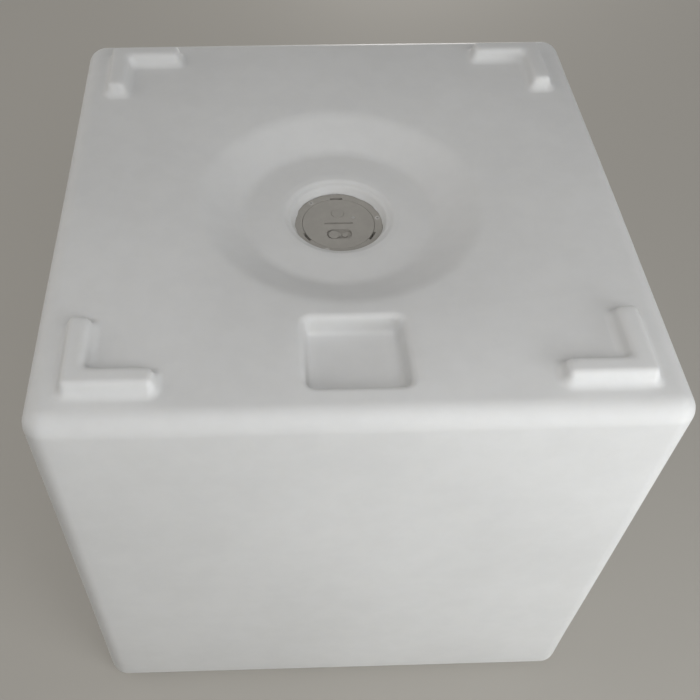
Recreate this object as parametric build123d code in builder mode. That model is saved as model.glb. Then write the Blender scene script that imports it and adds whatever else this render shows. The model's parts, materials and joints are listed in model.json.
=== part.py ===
from build123d import *

import os
from math import atan2, cos, degrees, radians, sin, tan

# Illuminated cube table, rotationally moulded in milky polyethylene, stored upside down.
# The table top lies on z = 0 and the underside, with its moulded feet, faces up.
# X runs to the right, Y runs away from the side that has the finger pocket. Sizes in millimetres.
# A lamp unit turns into a ring in the neck of the underside and lights the hollow body.

os.makedirs("parts", exist_ok=True)

# Two lengths closer than this are taken as the same
same = 0.01

# Body
body_width = 598.0
body_depth = 598.0
body_height = 585.0
wall = 4.0
corner_radius = 23.0
edge_radius = 21.0

# Slight hollow of the underside, drawn in as the moulding cools
hollow_radius = 277.0
hollow_drop = 8.6
hollow_lead = 0.1

# Dish in the middle of the underside
dish_radius = 150.0
dish_floor_radius = 105.0
dish_depth = 32.0
dish_rim_round = 30.0
dish_floor_round = 45.0

# Neck at the bottom of the dish, with a ledge for the ring
neck_radius = 49.0
lip_round = 13.0
ring_height = 12.0
ledge_radius = 41.0

# Finger pocket between the dish and the front edge
pocket_width = 95.0
pocket_length = 86.0
pocket_depth = 27.0
pocket_inset = 40.0
pocket_corner = 10.0
pocket_draft = 8.0
pocket_floor_round = 6.0
pocket_rim_round = 5.0

# L-shaped feet in the corners
foot_arm = 88.0
foot_width = 27.0
foot_height = 15.0
foot_inset = 32.0
foot_corner = 9.0
foot_draft = 15.0
foot_top_round = 4.5
foot_root_round = 6.0

# Clearances
slip_gap = 0.2
turn_gap = 0.3
seal_gap = 0.2
screw_gap = 0.05
button_gap = 0.25

# Bayonet between the neck ring and the lamp cap
ring_bore = 40.0
lug_count = 3
lug_angle = 16.0
lug_height = 3.0
lug_reach = 2.8
lug_drop = 4.9
lock_angle = 40.0
entry_angle = 90.0
slot_play = 1.5
ring_edge = 0.5

# Screws, all of one thread and head
screw_radius = 1.5
screw_head_radius = 2.8
screw_head_height = 1.6
screw_count = 3
drive_width = 3.0
drive_slot = 0.9
drive_depth = 0.9
ring_screw_length = 15.0
housing_screw_length = 5.5
housing_screw_rise = 4.5
dome_screw_length = 12.0

# Lamp cap with a coin slot, a wall round the socket well and posts for the board
cap_face = 3.0
cap_skirt = 3.5
cap_length = 21.0
cap_edge = 0.6
coin_slot_length = 32.0
coin_slot_width = 2.6
coin_slot_depth = 2.0
well_wall = 1.5
post_radius = 2.2
post_ring = 31.0
seal_section = 1.0
seal_drop = 9.8
groove_play = 0.15

# Power button and its switch
button_radius = 7.0
button_place = (0.0, 16.0)
button_rise = 0.6
button_flange = 1.5
button_flange_height = 1.0
button_rest_gap = 0.2
button_travel = 1.5
button_edge = 0.5
switch_side = 8.5
switch_clear = 0.5
switch_floor = 0.8
plunger_radius = 2.0
plunger_play = 0.25
plunger_depth = 0.9

# Charging socket in its well, with nut, rubber cap and strap
socket_row = -17.0
well_width = 15.0
well_length = 27.0
well_depth = 3.4
well_floor = 1.8
well_corner = 6.0
socket_bore = 2.75
socket_pin = 1.0
socket_floor = 1.1
socket_pin_drop = 1.5
socket_barrel = 4.0
socket_flange = 5.5
socket_flange_height = 1.0
nut_across = 11.0
nut_height = 1.8
rubber_radius = 6.0
rubber_height = 1.7
rubber_edge = 0.4
rubber_gap = 0.1
stub_radius = 2.4
stub_length = 1.2
strap_width = 4.5
strap_height = 1.2
strap_reach = 12.0
strap_gap = 0.7
anchor_radius = 2.0
anchor_head = 3.2
anchor_bulb = 2.8
anchor_bulb_height = 1.0

# Charge light
light_place = (17.0, 9.0)
light_radius = 2.0
light_flange = 1.0
light_flange_height = 0.8

# Control board and what is soldered to it
board_drop = 9.5
board_thick = 1.6
coil_place = (0.0, 15.0)
coil_radius = 5.5
coil_waist = 4.3
coil_flange = 1.2
coil_height = 6.0
capacitor_place = (14.0, -14.0)
capacitor_radius = 3.2
capacitor_height = 8.0
capacitor_edge = 0.6
chip_places = ((-14.0, 5.0), (-14.0, -6.0))
chip_side = 7.0
chip_height = 1.6
signal_side = 2.4
signal_height = 0.9

# Lamp housing
housing_radius = 38.0
housing_wall = 2.5
collar_wall = 2.5
collar_root = 6.0
collar_slope = 2.0
boss_radius = 3.2
boss_sink = 0.4
boss_height = 14.0
boss_angle = 30.0

# Battery
cell_radius = 9.2
cell_length = 65.0
cell_count = 3
cell_gap = 0.2
cell_angle = 90.0
cell_edge = 0.6
cell_play = 0.15
spacer_height = 3.0
spacer_recess = 1.5
spacer_play = 0.4
peg_radius = 2.5
peg_ring = 27.0
peg_angle = 30.0
strip_thick = 0.3
strip_radius = 7.0
strip_hole = 3.0

# Light source
sink_thick = 3.0
led_board_radius = 26.0
led_board_thick = 1.6
led_side = 5.0
led_height = 1.4
led_rings = ((9.0, 4), (19.5, 8))
dome_radius = 28.8
dome_height = 30.0
dome_round = 24.0
dome_wall = 2.0
dome_flange = 2.5
dome_seal_height = 0.8

# Leads inside the lamp
lead_radius = 0.7
lead_pitch = 3.4
lead_hole = 1.2
led_lead_ring = 22.0
battery_lead_ring = 11.0

# Heights that follow, from the underside inwards
floor_z = body_height - dish_depth
face_z = floor_z - lip_round
ledge_z = face_z - ring_height
neck_end_z = ledge_z - wall
cap_under_z = face_z - cap_face
cap_end_z = face_z - cap_length
well_z = face_z - well_depth
well_under_z = well_z - well_floor
board_top_z = face_z - board_drop
board_under_z = board_top_z - board_thick
flange_top_z = cap_under_z - button_rest_gap
plunger_top_z = flange_top_z - button_flange_height
switch_top_z = plunger_top_z - button_travel - switch_clear
strap_z = well_z + socket_flange_height + rubber_gap
high_spacer_z = cap_end_z - spacer_play
high_strip_z = high_spacer_z - spacer_height + spacer_recess - strip_thick
cell_z = high_strip_z - cell_length
low_strip_z = cell_z - strip_thick
sink_top_z = low_strip_z - spacer_height + spacer_recess
housing_end_z = sink_top_z - sink_thick
dome_seal_z = housing_end_z - dome_seal_height
dome_z = dome_seal_z - dome_flange

lug_low_z = face_z - lug_drop - lug_height
seal_z = face_z - seal_drop
socket_top_z = well_z + socket_flange_height
signal_top_z = board_top_z + signal_height

# Radii, angles and places that follow
pocket_y = -body_depth / 2 + pocket_inset + pocket_length / 2
ring_radius = neck_radius - slip_gap
ring_screw_ring = (ring_radius + ring_bore) / 2
cap_radius = ring_bore - turn_gap
lug_radius = cap_radius + lug_reach
slot_radius = lug_radius + turn_gap
skirt_bore = cap_radius - cap_skirt
skirt_middle = cap_radius - cap_skirt / 2
seal_radius = ring_bore - seal_gap - seal_section
groove_radius = seal_radius - seal_section - groove_play
collar_radius = skirt_bore - slip_gap
collar_bore = collar_radius - collar_wall
board_radius = skirt_bore - turn_gap
spacer_radius = collar_bore - turn_gap
housing_bore = housing_radius - housing_wall
boss_ring = housing_bore - boss_radius + boss_sink
cell_ring = (2 * cell_radius + cell_gap) / (2 * sin(radians(180 / cell_count)))
lug_step = 360.0 / lug_count
screw_step = 360.0 / screw_count
cell_step = 360.0 / cell_count
lug_start = entry_angle - lock_angle - lug_angle / 2
ring_screw_angle = entry_angle - lock_angle / 2 - lug_step / 2
plus_angle = cell_angle + cell_step / 2
minus_angle = plus_angle + cell_step
socket_place = (-strap_reach / 2, socket_row)
anchor_place = (strap_reach / 2, socket_row)
hinge_x = strap_reach / 2 - anchor_head - strap_gap

# The hollow is one flat arc that leaves the plane level and drops to the brink of the dish
hollow_reach = hollow_radius - dish_radius
hollow_arc = (hollow_reach**2 + hollow_drop**2) / (2 * hollow_drop)
brink_z = body_height + hollow_lead - hollow_drop
dish_slope = degrees(atan2(brink_z - floor_z, dish_radius - dish_floor_radius))


def underside(skin, neck_end):
    """Solid that the hollow, the dish and the neck take out, grown by a skin."""
    top = body_height + 2 * foot_height
    start = (hollow_radius, body_height + hollow_lead - skin)
    spread = skin * tan(radians(dish_slope / 2))
    brink = (dish_radius + spread, brink_z - skin)
    foot = (dish_floor_radius + spread, floor_z - skin)
    lip_top = (neck_radius + lip_round, floor_z - skin)
    lip_end = (neck_radius + skin, face_z)
    with BuildPart(mode=Mode.PRIVATE) as form:
        with BuildSketch(Plane.XZ):
            with BuildLine():
                Polyline((0, neck_end), (0, top), (hollow_radius, top), start)
                TangentArc(start, brink, tangent=(-1, 0))
                Polyline(brink, foot, lip_top)
                RadiusArc(lip_top, lip_end, -(lip_round - skin))
                Polyline(lip_end, (neck_radius + skin, neck_end), (0, neck_end))
            make_face()
        revolve(axis=Axis.Z)
    return form.part


def pocket(skin):
    """Solid that the finger pocket takes out, grown by a skin."""
    sizes = (pocket_width + 2 * skin, pocket_length + 2 * skin)
    with BuildPart(mode=Mode.PRIVATE) as form:
        with BuildSketch(Plane((0, pocket_y, body_height))):
            RectangleRounded(*sizes, pocket_corner + skin)
        extrude(amount=-(pocket_depth + skin), taper=pocket_draft)
        fillet(form.faces().sort_by(Axis.Z)[0].edges(), pocket_floor_round)
        extrude(form.faces().sort_by(Axis.Z)[-1], amount=foot_height)
    return form.part


def four_feet(inset, base_z):
    """L-shaped blocks in the four corners, drawn in by an inset, on a base height."""
    out_x = body_width / 2 - foot_inset - inset
    out_y = body_depth / 2 - foot_inset - inset
    in_x = out_x - foot_width + 2 * inset
    in_y = out_y - foot_width + 2 * inset
    end_x = out_x - foot_arm + 2 * inset
    end_y = out_y - foot_arm + 2 * inset
    corners = [
        (out_x, out_y),
        (end_x, out_y),
        (end_x, in_y),
        (in_x, in_y),
        (in_x, end_y),
        (out_x, end_y),
    ]
    with BuildPart(mode=Mode.PRIVATE) as form:
        with BuildSketch(Plane.XY.offset(base_z)) as outline:
            with BuildLine():
                Polyline(*corners, close=True)
            make_face()
            fillet(outline.vertices(), foot_corner - inset)
        extrude(amount=foot_height, taper=foot_draft)
        mirror(about=Plane.YZ)
        mirror(about=Plane.XZ)
    return form.part


def sector(inner, outer, start, size):
    """Draws a piece of a ring, between two angles, in the sketch being made."""
    with BuildLine(mode=Mode.PRIVATE) as outline:
        rim = CenterArc((0, 0), outer, start, size)
        bore = CenterArc((0, 0), inner, start, size)
        Line(rim @ 0, bore @ 0)
        Line(rim @ 1, bore @ 1)
    make_face(outline.edges())


def screw_form(length, gap):
    """Countersunk screw along -Z, its head face on z = 0, grown by a gap."""
    shank = screw_radius + gap
    with BuildPart(mode=Mode.PRIVATE) as form:
        with BuildSketch(Plane.XZ):
            with BuildLine():
                Polyline(
                    (0, 0),
                    (screw_head_radius + gap, 0),
                    (shank, -screw_head_height),
                    (shank, screw_radius - length),
                    (0, -length - gap),
                    close=True,
                )
            make_face()
        revolve(axis=Axis.Z)
    return form.part


def screw(length):
    """Screw with a cross recess in its head."""
    with BuildPart(mode=Mode.PRIVATE) as form:
        add(screw_form(length, 0))
        with BuildSketch():
            Rectangle(drive_width, drive_slot)
            Rectangle(drive_slot, drive_width)
        extrude(amount=-drive_depth, mode=Mode.SUBTRACT)
    return form.part


def on_underside(edge):
    """Tells whether an edge lies in the plane of the underside."""
    box = edge.bounding_box()
    return max(abs(box.min.Z - body_height), abs(box.max.Z - body_height)) < same


def inside_edge_round(edge):
    """Tells whether an edge of the underside is clear of the rounded outer edges."""
    flat_x = body_width / 2 - edge_radius
    flat_y = body_depth / 2 - edge_radius
    place = edge.center()
    return abs(place.X) < flat_x - same and abs(place.Y) < flat_y - same


def at_pocket_rim(edge):
    """Tells whether an edge lies where the pocket meets the underside."""
    return edge.bounding_box().min.Z > body_height - pocket_depth / 2


def circles(made, radius):
    """Round edges of one radius in the part being made."""
    rings = made.edges().filter_by(GeomType.CIRCLE)
    return rings.filter_by(lambda edge: abs(edge.radius - radius) < same)


def around(radius, count, start):
    """Places on a circle in the plan, evenly spread from a start angle."""
    angles = [radians(start + n * 360 / count) for n in range(count)]
    return [(radius * cos(a), radius * sin(a)) for a in angles]


def rods(radius, low, high, places=((0, 0),), mode=Mode.ADD):
    """Upright round rods between two heights, in the part being made."""
    with BuildSketch(Plane.XY.offset(low), mode=Mode.PRIVATE) as ends:
        with Locations(*places):
            Circle(radius)
    extrude(ends.sketch, amount=high - low, mode=mode)


def copies(form, places, mode=Mode.ADD):
    """Puts a finished form at each of its places, in the part being made."""
    with Locations(*places):
        add(form, mode=mode)


def spacer(low, recess_z):
    """Plate with a recess for the cell ends, notched round the bosses, holed for the leads."""
    with BuildPart(mode=Mode.PRIVATE) as form:
        rods(spacer_radius, low, low + spacer_height)
        rods(boss_radius + slip_gap, low, low + spacer_height, boss_places, Mode.SUBTRACT)
        rods(lead_hole, low, low + spacer_height, lead_places, Mode.SUBTRACT)
        with BuildSketch(Plane.XY.offset(recess_z)):
            with Locations(*cell_places):
                Circle(cell_radius + cell_play)
            make_hull()
        extrude(amount=spacer_recess, mode=Mode.SUBTRACT)
    return form.part


# Places of the screws, the bosses, the cells and the leads
ring_screw_places = [
    Location((0, 0, face_z), (0, 0, ring_screw_angle + n * screw_step))
    * Location((ring_screw_ring, 0, 0))
    for n in range(screw_count)
]
housing_screw_places = [
    Location((0, 0, cap_end_z + housing_screw_rise), (0, 0, boss_angle + n * screw_step))
    * Location((cap_radius, 0, 0), (0, 90, 0))
    for n in range(screw_count)
]
dome_screw_places = [
    Location((0, 0, dome_z), (0, 0, boss_angle + n * screw_step))
    * Location((boss_ring, 0, 0), (180, 0, 0))
    for n in range(screw_count)
]
boss_places = around(boss_ring, screw_count, boss_angle)
cell_places = around(cell_ring, cell_count, cell_angle)
led_lead_places = [(-led_lead_ring, -lead_pitch / 2), (-led_lead_ring, lead_pitch / 2)]
plus_place = around(battery_lead_ring, 1, plus_angle)
minus_place = around(battery_lead_ring, 1, minus_angle)
lead_places = led_lead_places + plus_place + minus_place

# Screws and the holes they cut
ring_screw = screw(ring_screw_length)
ring_screw_hole = screw_form(ring_screw_length, screw_gap)
housing_screw = screw(housing_screw_length)
housing_screw_hole = screw_form(housing_screw_length, screw_gap)
dome_screw = screw(dome_screw_length)
dome_screw_hole = screw_form(dome_screw_length, screw_gap)

# Forms that cut the shell, worked out ahead of it
dish_form = underside(0, ledge_z)
dish_skin = underside(wall, neck_end_z)
pocket_form = pocket(0)
pocket_skin = pocket(wall)
feet_form = four_feet(0, body_height)
feet_hollow = four_feet(wall, body_height - wall)

# Inside of the shell: one wall in from the outside, round the dish and the pocket
with BuildPart() as cavity:
    with BuildSketch(Plane.XY.offset(wall)):
        RectangleRounded(body_width - 2 * wall, body_depth - 2 * wall, corner_radius - wall)
    extrude(amount=body_height - 2 * wall)
    fillet(cavity.faces().filter_by(Axis.Z).edges(), edge_radius - wall)
    add(feet_hollow)
    add(dish_skin, mode=Mode.SUBTRACT)
    add(pocket_skin, mode=Mode.SUBTRACT)

# Shell: block, feet, hollow, dish, neck and pocket, then the inside
with BuildPart() as shell:
    with BuildSketch():
        RectangleRounded(body_width, body_depth, corner_radius)
    extrude(amount=body_height)
    fillet(shell.faces().filter_by(Axis.Z).edges(), edge_radius)
    add(feet_form)
    fillet(shell.faces().group_by(Axis.Z)[-1].edges(), foot_top_round)
    foot_roots = shell.edges().filter_by(on_underside).filter_by(inside_edge_round)
    fillet(foot_roots, foot_root_round)
    add(dish_form, mode=Mode.SUBTRACT)
    fillet(circles(shell, dish_radius), dish_rim_round)
    fillet(circles(shell, dish_floor_radius), dish_floor_round)
    add(pocket_form, mode=Mode.SUBTRACT)
    fillet(shell.edges(Select.LAST).filter_by(at_pocket_rim), pocket_rim_round)
    add(cavity.part, mode=Mode.SUBTRACT)
    rods(ledge_radius, neck_end_z, ledge_z, mode=Mode.SUBTRACT)
    copies(ring_screw_hole, ring_screw_places, Mode.SUBTRACT)
shell.part.label = "shell"
export_step(shell.part, "parts/shell.step")

# Neck ring, with three bayonet slots that open at its face
slot_low_z = lug_low_z - turn_gap
slot_height = lug_height + 2 * turn_gap
with BuildPart() as neck_ring:
    with BuildSketch(Plane.XY.offset(ledge_z)):
        Circle(ring_radius)
        Circle(ring_bore, mode=Mode.SUBTRACT)
    extrude(amount=ring_height)
    fillet(neck_ring.faces().sort_by(Axis.Z)[-1].edges(), ring_edge)
    with BuildSketch(Plane.XY.offset(slot_low_z)):
        for n in range(lug_count):
            start = lug_start - slot_play + n * lug_step
            sector(cap_radius, slot_radius, start, lock_angle + lug_angle + 2 * slot_play)
    extrude(amount=slot_height, mode=Mode.SUBTRACT)
    with BuildSketch(Plane.XY.offset(slot_low_z)):
        for n in range(lug_count):
            start = lug_start + lock_angle - slot_play + n * lug_step
            sector(cap_radius, slot_radius, start, lug_angle + 2 * slot_play)
    extrude(amount=face_z - slot_low_z, mode=Mode.SUBTRACT)
    copies(ring_screw_hole, ring_screw_places, Mode.SUBTRACT)
neck_ring.part.label = "neck_ring"
export_step(neck_ring.part, "parts/neck_ring.step")

with BuildPart() as ring_screws:
    copies(ring_screw, ring_screw_places)
ring_screws.part.label = "ring_screws"
export_step(ring_screws.part, "parts/ring_screws.step")

# Lamp cap: cup with a seal groove, bayonet lugs, openings in its face and posts inside
with BuildPart() as lamp_cap:
    rods(cap_radius, cap_end_z, face_z)
    fillet(lamp_cap.faces().sort_by(Axis.Z)[-1].edges(), cap_edge)
    rods(skirt_bore, cap_end_z, cap_under_z, mode=Mode.SUBTRACT)
    with BuildSketch(Plane.XY.offset(seal_z - seal_section - groove_play)):
        Circle(cap_radius)
        Circle(groove_radius, mode=Mode.SUBTRACT)
    extrude(amount=2 * (seal_section + groove_play), mode=Mode.SUBTRACT)
    with BuildSketch(Plane.XY.offset(lug_low_z)):
        for n in range(lug_count):
            sector(skirt_middle, lug_radius, lug_start + n * lug_step, lug_angle)
    extrude(amount=lug_height)
    with BuildSketch(Plane.XY.offset(well_under_z)):
        with Locations((0, socket_row)):
            RectangleRounded(
                well_length + 2 * well_wall, well_width + 2 * well_wall, well_corner + well_wall
            )
    extrude(amount=cap_under_z - well_under_z)
    rods(post_radius, board_top_z, cap_under_z, around(post_ring, screw_count, cell_angle))
    with BuildSketch(Plane.XY.offset(well_z)):
        with Locations((0, socket_row)):
            RectangleRounded(well_length, well_width, well_corner)
    extrude(amount=well_depth, mode=Mode.SUBTRACT)
    with BuildSketch(Plane.XY.offset(face_z)):
        SlotOverall(coin_slot_length, coin_slot_width)
    extrude(amount=-coin_slot_depth, mode=Mode.SUBTRACT)
    rods(button_radius + button_gap, cap_under_z, face_z, [button_place], Mode.SUBTRACT)
    rods(light_radius + screw_gap, cap_under_z, face_z, [light_place], Mode.SUBTRACT)
    rods(socket_barrel + screw_gap, well_under_z, well_z, [socket_place], Mode.SUBTRACT)
    rods(anchor_radius + screw_gap, well_under_z, well_z, [anchor_place], Mode.SUBTRACT)
    copies(housing_screw_hole, housing_screw_places, Mode.SUBTRACT)
lamp_cap.part.label = "lamp_cap"
export_step(lamp_cap.part, "parts/lamp_cap.step")

# Rubber ring in the groove of the cap
with BuildPart() as seal_ring:
    with BuildSketch(Plane.XZ):
        with Locations((seal_radius, seal_z)):
            Circle(seal_section)
    revolve(axis=Axis.Z)
seal_ring.part.label = "seal_ring"
export_step(seal_ring.part, "parts/seal_ring.step")

# Power button, held under the cap face by its flange
with BuildPart() as power_button:
    rods(button_radius, flange_top_z, face_z + button_rise, [button_place])
    fillet(power_button.faces().sort_by(Axis.Z)[-1].edges(), button_edge)
    rods(button_radius + button_flange, plunger_top_z, flange_top_z, [button_place])
power_button.part.label = "power_button"
export_step(power_button.part, "parts/power_button.step")

# Switch under the button, and the plunger that the button pushes into it
with BuildPart() as switch_plunger:
    rods(plunger_radius, switch_top_z - plunger_depth, plunger_top_z, [button_place])
switch_plunger.part.label = "switch_plunger"
export_step(switch_plunger.part, "parts/switch_plunger.step")

with BuildPart() as switch_body:
    with BuildSketch(Plane.XY.offset(board_top_z)):
        with Locations(button_place):
            Rectangle(switch_side, switch_side)
    extrude(amount=switch_top_z - board_top_z)
    bore = plunger_radius + plunger_play
    rods(bore, board_top_z + switch_floor, switch_top_z, [button_place], Mode.SUBTRACT)
switch_body.part.label = "switch_body"
export_step(switch_body.part, "parts/switch_body.step")

# Charging socket with its centre pin, through the floor of the well down to the board
with BuildPart() as charging_socket:
    rods(socket_flange, well_z, socket_top_z, [socket_place])
    rods(socket_barrel, board_top_z, well_z, [socket_place])
    bore_z = board_top_z + socket_floor
    rods(socket_bore, bore_z, socket_top_z, [socket_place], Mode.SUBTRACT)
    rods(socket_pin, bore_z, socket_top_z - socket_pin_drop, [socket_place])
charging_socket.part.label = "charging_socket"
export_step(charging_socket.part, "parts/charging_socket.step")

with BuildPart() as socket_nut:
    with BuildSketch(Plane.XY.offset(well_under_z)):
        with Locations(socket_place):
            RegularPolygon(nut_across / 2, 6, major_radius=False)
            Circle(socket_barrel + screw_gap, mode=Mode.SUBTRACT)
    extrude(amount=-nut_height)
socket_nut.part.label = "socket_nut"
export_step(socket_nut.part, "parts/socket_nut.step")

# Rubber cap of the socket, with its strap up to the fold
with BuildPart() as socket_cap:
    rods(rubber_radius, strap_z, strap_z + rubber_height, [socket_place])
    fillet(socket_cap.faces().sort_by(Axis.Z)[-1].edges(), rubber_edge)
    rods(stub_radius, strap_z - stub_length, strap_z, [socket_place])
    with BuildSketch(Plane.XY.offset(strap_z)):
        with Locations((hinge_x, socket_row)):
            Rectangle(hinge_x - socket_place[0], strap_width, align=(Align.MAX, Align.CENTER))
    extrude(amount=strap_height)
socket_cap.part.label = "socket_cap"
export_step(socket_cap.part, "parts/socket_cap.step")

# Rubber stud that holds the strap in the well
with BuildPart() as cap_anchor:
    rods(anchor_head, well_z, strap_z + strap_height, [anchor_place])
    fillet(cap_anchor.faces().sort_by(Axis.Z)[-1].edges(), rubber_edge)
    rods(anchor_radius, well_under_z, well_z, [anchor_place])
    rods(anchor_bulb, well_under_z - anchor_bulb_height, well_under_z, [anchor_place])
    fillet(cap_anchor.faces().sort_by(Axis.Z)[0].edges(), rubber_edge)
cap_anchor.part.label = "cap_anchor"
export_step(cap_anchor.part, "parts/cap_anchor.step")

# Light pipe from the signal light on the board to the cap face
with BuildPart() as charge_light:
    rods(light_radius, signal_top_z, face_z, [light_place])
    light_flange_z = cap_under_z - light_flange_height
    rods(light_radius + light_flange, light_flange_z, cap_under_z, [light_place])
charge_light.part.label = "charge_light"
export_step(charge_light.part, "parts/charge_light.step")

# Control board, clamped between the collar of the housing and the posts of the cap
with BuildPart() as control_board:
    rods(board_radius, board_under_z, board_top_z)
control_board.part.label = "control_board"
export_step(control_board.part, "parts/control_board.step")

# Coil and capacitor under the board, chips and signal light on it
coil_end_z = board_under_z - coil_height
with BuildPart() as board_parts:
    rods(coil_waist, coil_end_z, board_under_z, [coil_place])
    rods(coil_radius, coil_end_z, coil_end_z + coil_flange, [coil_place])
    rods(coil_radius, board_under_z - coil_flange, board_under_z, [coil_place])
    rods(capacitor_radius, board_under_z - capacitor_height, board_under_z, [capacitor_place])
    fillet(board_parts.faces().sort_by(Axis.Z)[0].edges(), capacitor_edge)
    with BuildSketch(Plane.XY.offset(board_top_z)):
        with Locations(*chip_places):
            Rectangle(chip_side, chip_side)
    extrude(amount=chip_height)
    with BuildSketch(Plane.XY.offset(board_top_z)):
        with Locations(light_place):
            Rectangle(signal_side, signal_side)
    extrude(amount=signal_height)
board_parts.part.label = "board_parts"
export_step(board_parts.part, "parts/board_parts.step")

# Lamp housing: tube with a collar that goes up into the cap, and bosses for the dome screws
collar_root_z = cap_end_z - collar_root
with BuildPart() as lamp_housing:
    with BuildSketch(Plane.XZ):
        with BuildLine():
            Polyline(
                (housing_bore, housing_end_z),
                (housing_radius, housing_end_z),
                (housing_radius, cap_end_z),
                (collar_radius, cap_end_z),
                (collar_radius, board_under_z),
                (collar_bore, board_under_z),
                (collar_bore, collar_root_z),
                (housing_bore, collar_root_z - collar_slope),
                close=True,
            )
        make_face()
    revolve(axis=Axis.Z)
    rods(boss_radius, sink_top_z, sink_top_z + boss_height, boss_places)
    copies(dome_screw_hole, dome_screw_places, Mode.SUBTRACT)
    copies(housing_screw_hole, housing_screw_places, Mode.SUBTRACT)
lamp_housing.part.label = "lamp_housing"
export_step(lamp_housing.part, "parts/lamp_housing.step")

with BuildPart() as housing_screws:
    copies(housing_screw, housing_screw_places)
housing_screws.part.label = "housing_screws"
export_step(housing_screws.part, "parts/housing_screws.step")

# Three cells side by side, between two plates
with BuildPart() as battery_cells:
    rods(cell_radius, cell_z, high_strip_z, cell_places)
    ends = battery_cells.faces().filter_by(GeomType.PLANE)
    fillet(ends.edges(), cell_edge)
battery_cells.part.label = "battery_cells"
export_step(battery_cells.part, "parts/battery_cells.step")

with BuildPart() as cell_spacer_lower:
    add(spacer(sink_top_z, low_strip_z))
cell_spacer_lower.part.label = "cell_spacer_lower"
export_step(cell_spacer_lower.part, "parts/cell_spacer_lower.step")

# The upper plate has pegs that the board keeps down
high_spacer_low_z = high_spacer_z - spacer_height
with BuildPart() as cell_spacer_upper:
    add(spacer(high_spacer_low_z, high_spacer_low_z))
    peg_places = around(peg_ring, screw_count, peg_angle)
    rods(peg_radius, high_spacer_z, board_under_z - spacer_play, peg_places)
cell_spacer_upper.part.label = "cell_spacer_upper"
export_step(cell_spacer_upper.part, "parts/cell_spacer_upper.step")

# Nickel strips across the ends of the cells, the upper one holed for the lead to the lower
with BuildPart() as contact_strips:
    for low in (low_strip_z, high_strip_z):
        with BuildSketch(Plane.XY.offset(low)):
            with Locations(*cell_places):
                Circle(strip_radius)
            make_hull()
            Circle(strip_hole, mode=Mode.SUBTRACT)
        extrude(amount=strip_thick)
    rods(lead_hole, high_strip_z, high_strip_z + strip_thick, minus_place, Mode.SUBTRACT)
contact_strips.part.label = "contact_strips"
export_step(contact_strips.part, "parts/contact_strips.step")

with BuildPart() as battery_leads:
    rods(lead_radius, high_strip_z + strip_thick, board_under_z, plus_place)
    rods(lead_radius, cell_z, board_under_z, minus_place)
battery_leads.part.label = "battery_leads"
export_step(battery_leads.part, "parts/battery_leads.step")

with BuildPart() as led_leads:
    rods(lead_radius, housing_end_z, board_under_z, led_lead_places)
led_leads.part.label = "led_leads"
export_step(led_leads.part, "parts/led_leads.step")

# Heat sink, held against the bosses by the dome screws
with BuildPart() as heat_sink:
    rods(housing_bore - slip_gap, housing_end_z, sink_top_z)
    rods(lead_hole, housing_end_z, sink_top_z, led_lead_places, Mode.SUBTRACT)
    copies(dome_screw_hole, dome_screw_places, Mode.SUBTRACT)
heat_sink.part.label = "heat_sink"
export_step(heat_sink.part, "parts/heat_sink.step")

# Board with two rings of light emitting diodes
led_z = housing_end_z - led_board_thick
with BuildPart() as led_board:
    rods(led_board_radius, led_z, housing_end_z)
led_board.part.label = "led_board"
export_step(led_board.part, "parts/led_board.step")

with BuildPart() as led_chips:
    with BuildSketch(Plane.XY.offset(led_z)):
        for radius, count in led_rings:
            with PolarLocations(radius, count):
                Rectangle(led_side, led_side)
    extrude(amount=-led_height)
led_chips.part.label = "led_chips"
export_step(led_chips.part, "parts/led_chips.step")

# Flat seal between the housing and the dome
with BuildPart() as dome_seal:
    with BuildSketch(Plane.XY.offset(dome_seal_z)):
        Circle(housing_radius)
        Circle(dome_radius, mode=Mode.SUBTRACT)
    extrude(amount=dome_seal_height)
    copies(dome_screw_hole, dome_screw_places, Mode.SUBTRACT)
dome_seal.part.label = "dome_seal"
export_step(dome_seal.part, "parts/dome_seal.step")

# Milky dome that spreads the light inside the table
dome_end_z = dome_z - dome_height
dome_bend_z = dome_end_z + dome_round
dome_bore = dome_radius - dome_wall
dome_flat = dome_radius - dome_round
bore_round = dome_round - dome_wall
with BuildPart() as diffuser_dome:
    with BuildSketch(Plane.XZ):
        with BuildLine():
            Polyline((dome_bore, dome_bend_z), (dome_bore, dome_seal_z), (housing_radius, dome_seal_z))
            Polyline((housing_radius, dome_seal_z), (housing_radius, dome_z), (dome_radius, dome_z))
            Line((dome_radius, dome_z), (dome_radius, dome_bend_z))
            RadiusArc((dome_radius, dome_bend_z), (dome_flat, dome_end_z), dome_round)
            Polyline((dome_flat, dome_end_z), (0, dome_end_z), (0, dome_end_z + dome_wall))
            Line((0, dome_end_z + dome_wall), (dome_flat, dome_end_z + dome_wall))
            RadiusArc((dome_flat, dome_end_z + dome_wall), (dome_bore, dome_bend_z), -bore_round)
        make_face()
    revolve(axis=Axis.Z)
    copies(dome_screw_hole, dome_screw_places, Mode.SUBTRACT)
diffuser_dome.part.label = "diffuser_dome"
export_step(diffuser_dome.part, "parts/diffuser_dome.step")

with BuildPart() as dome_screws:
    copies(dome_screw, dome_screw_places)
dome_screws.part.label = "dome_screws"
export_step(dome_screws.part, "parts/dome_screws.step")
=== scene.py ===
# %% [markdown]
# # An illuminated cube table, dressed for its picture
# The table is a hollow cube of milky polyethylene, about 0.6 m each way, made by turning a hot
# mould with powder in it. It stands upside down, so its feet, its dish and the lamp unit in the
# middle face up. The measured solids come first and stay where they are: this lesson adds the
# light, the camera, the finishes and the small forms that the eye looks for.

# %% The measured model, and the box that it fills
import json
from math import radians

import bpy
import numpy as np
from mathutils import Matrix, Vector

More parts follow.
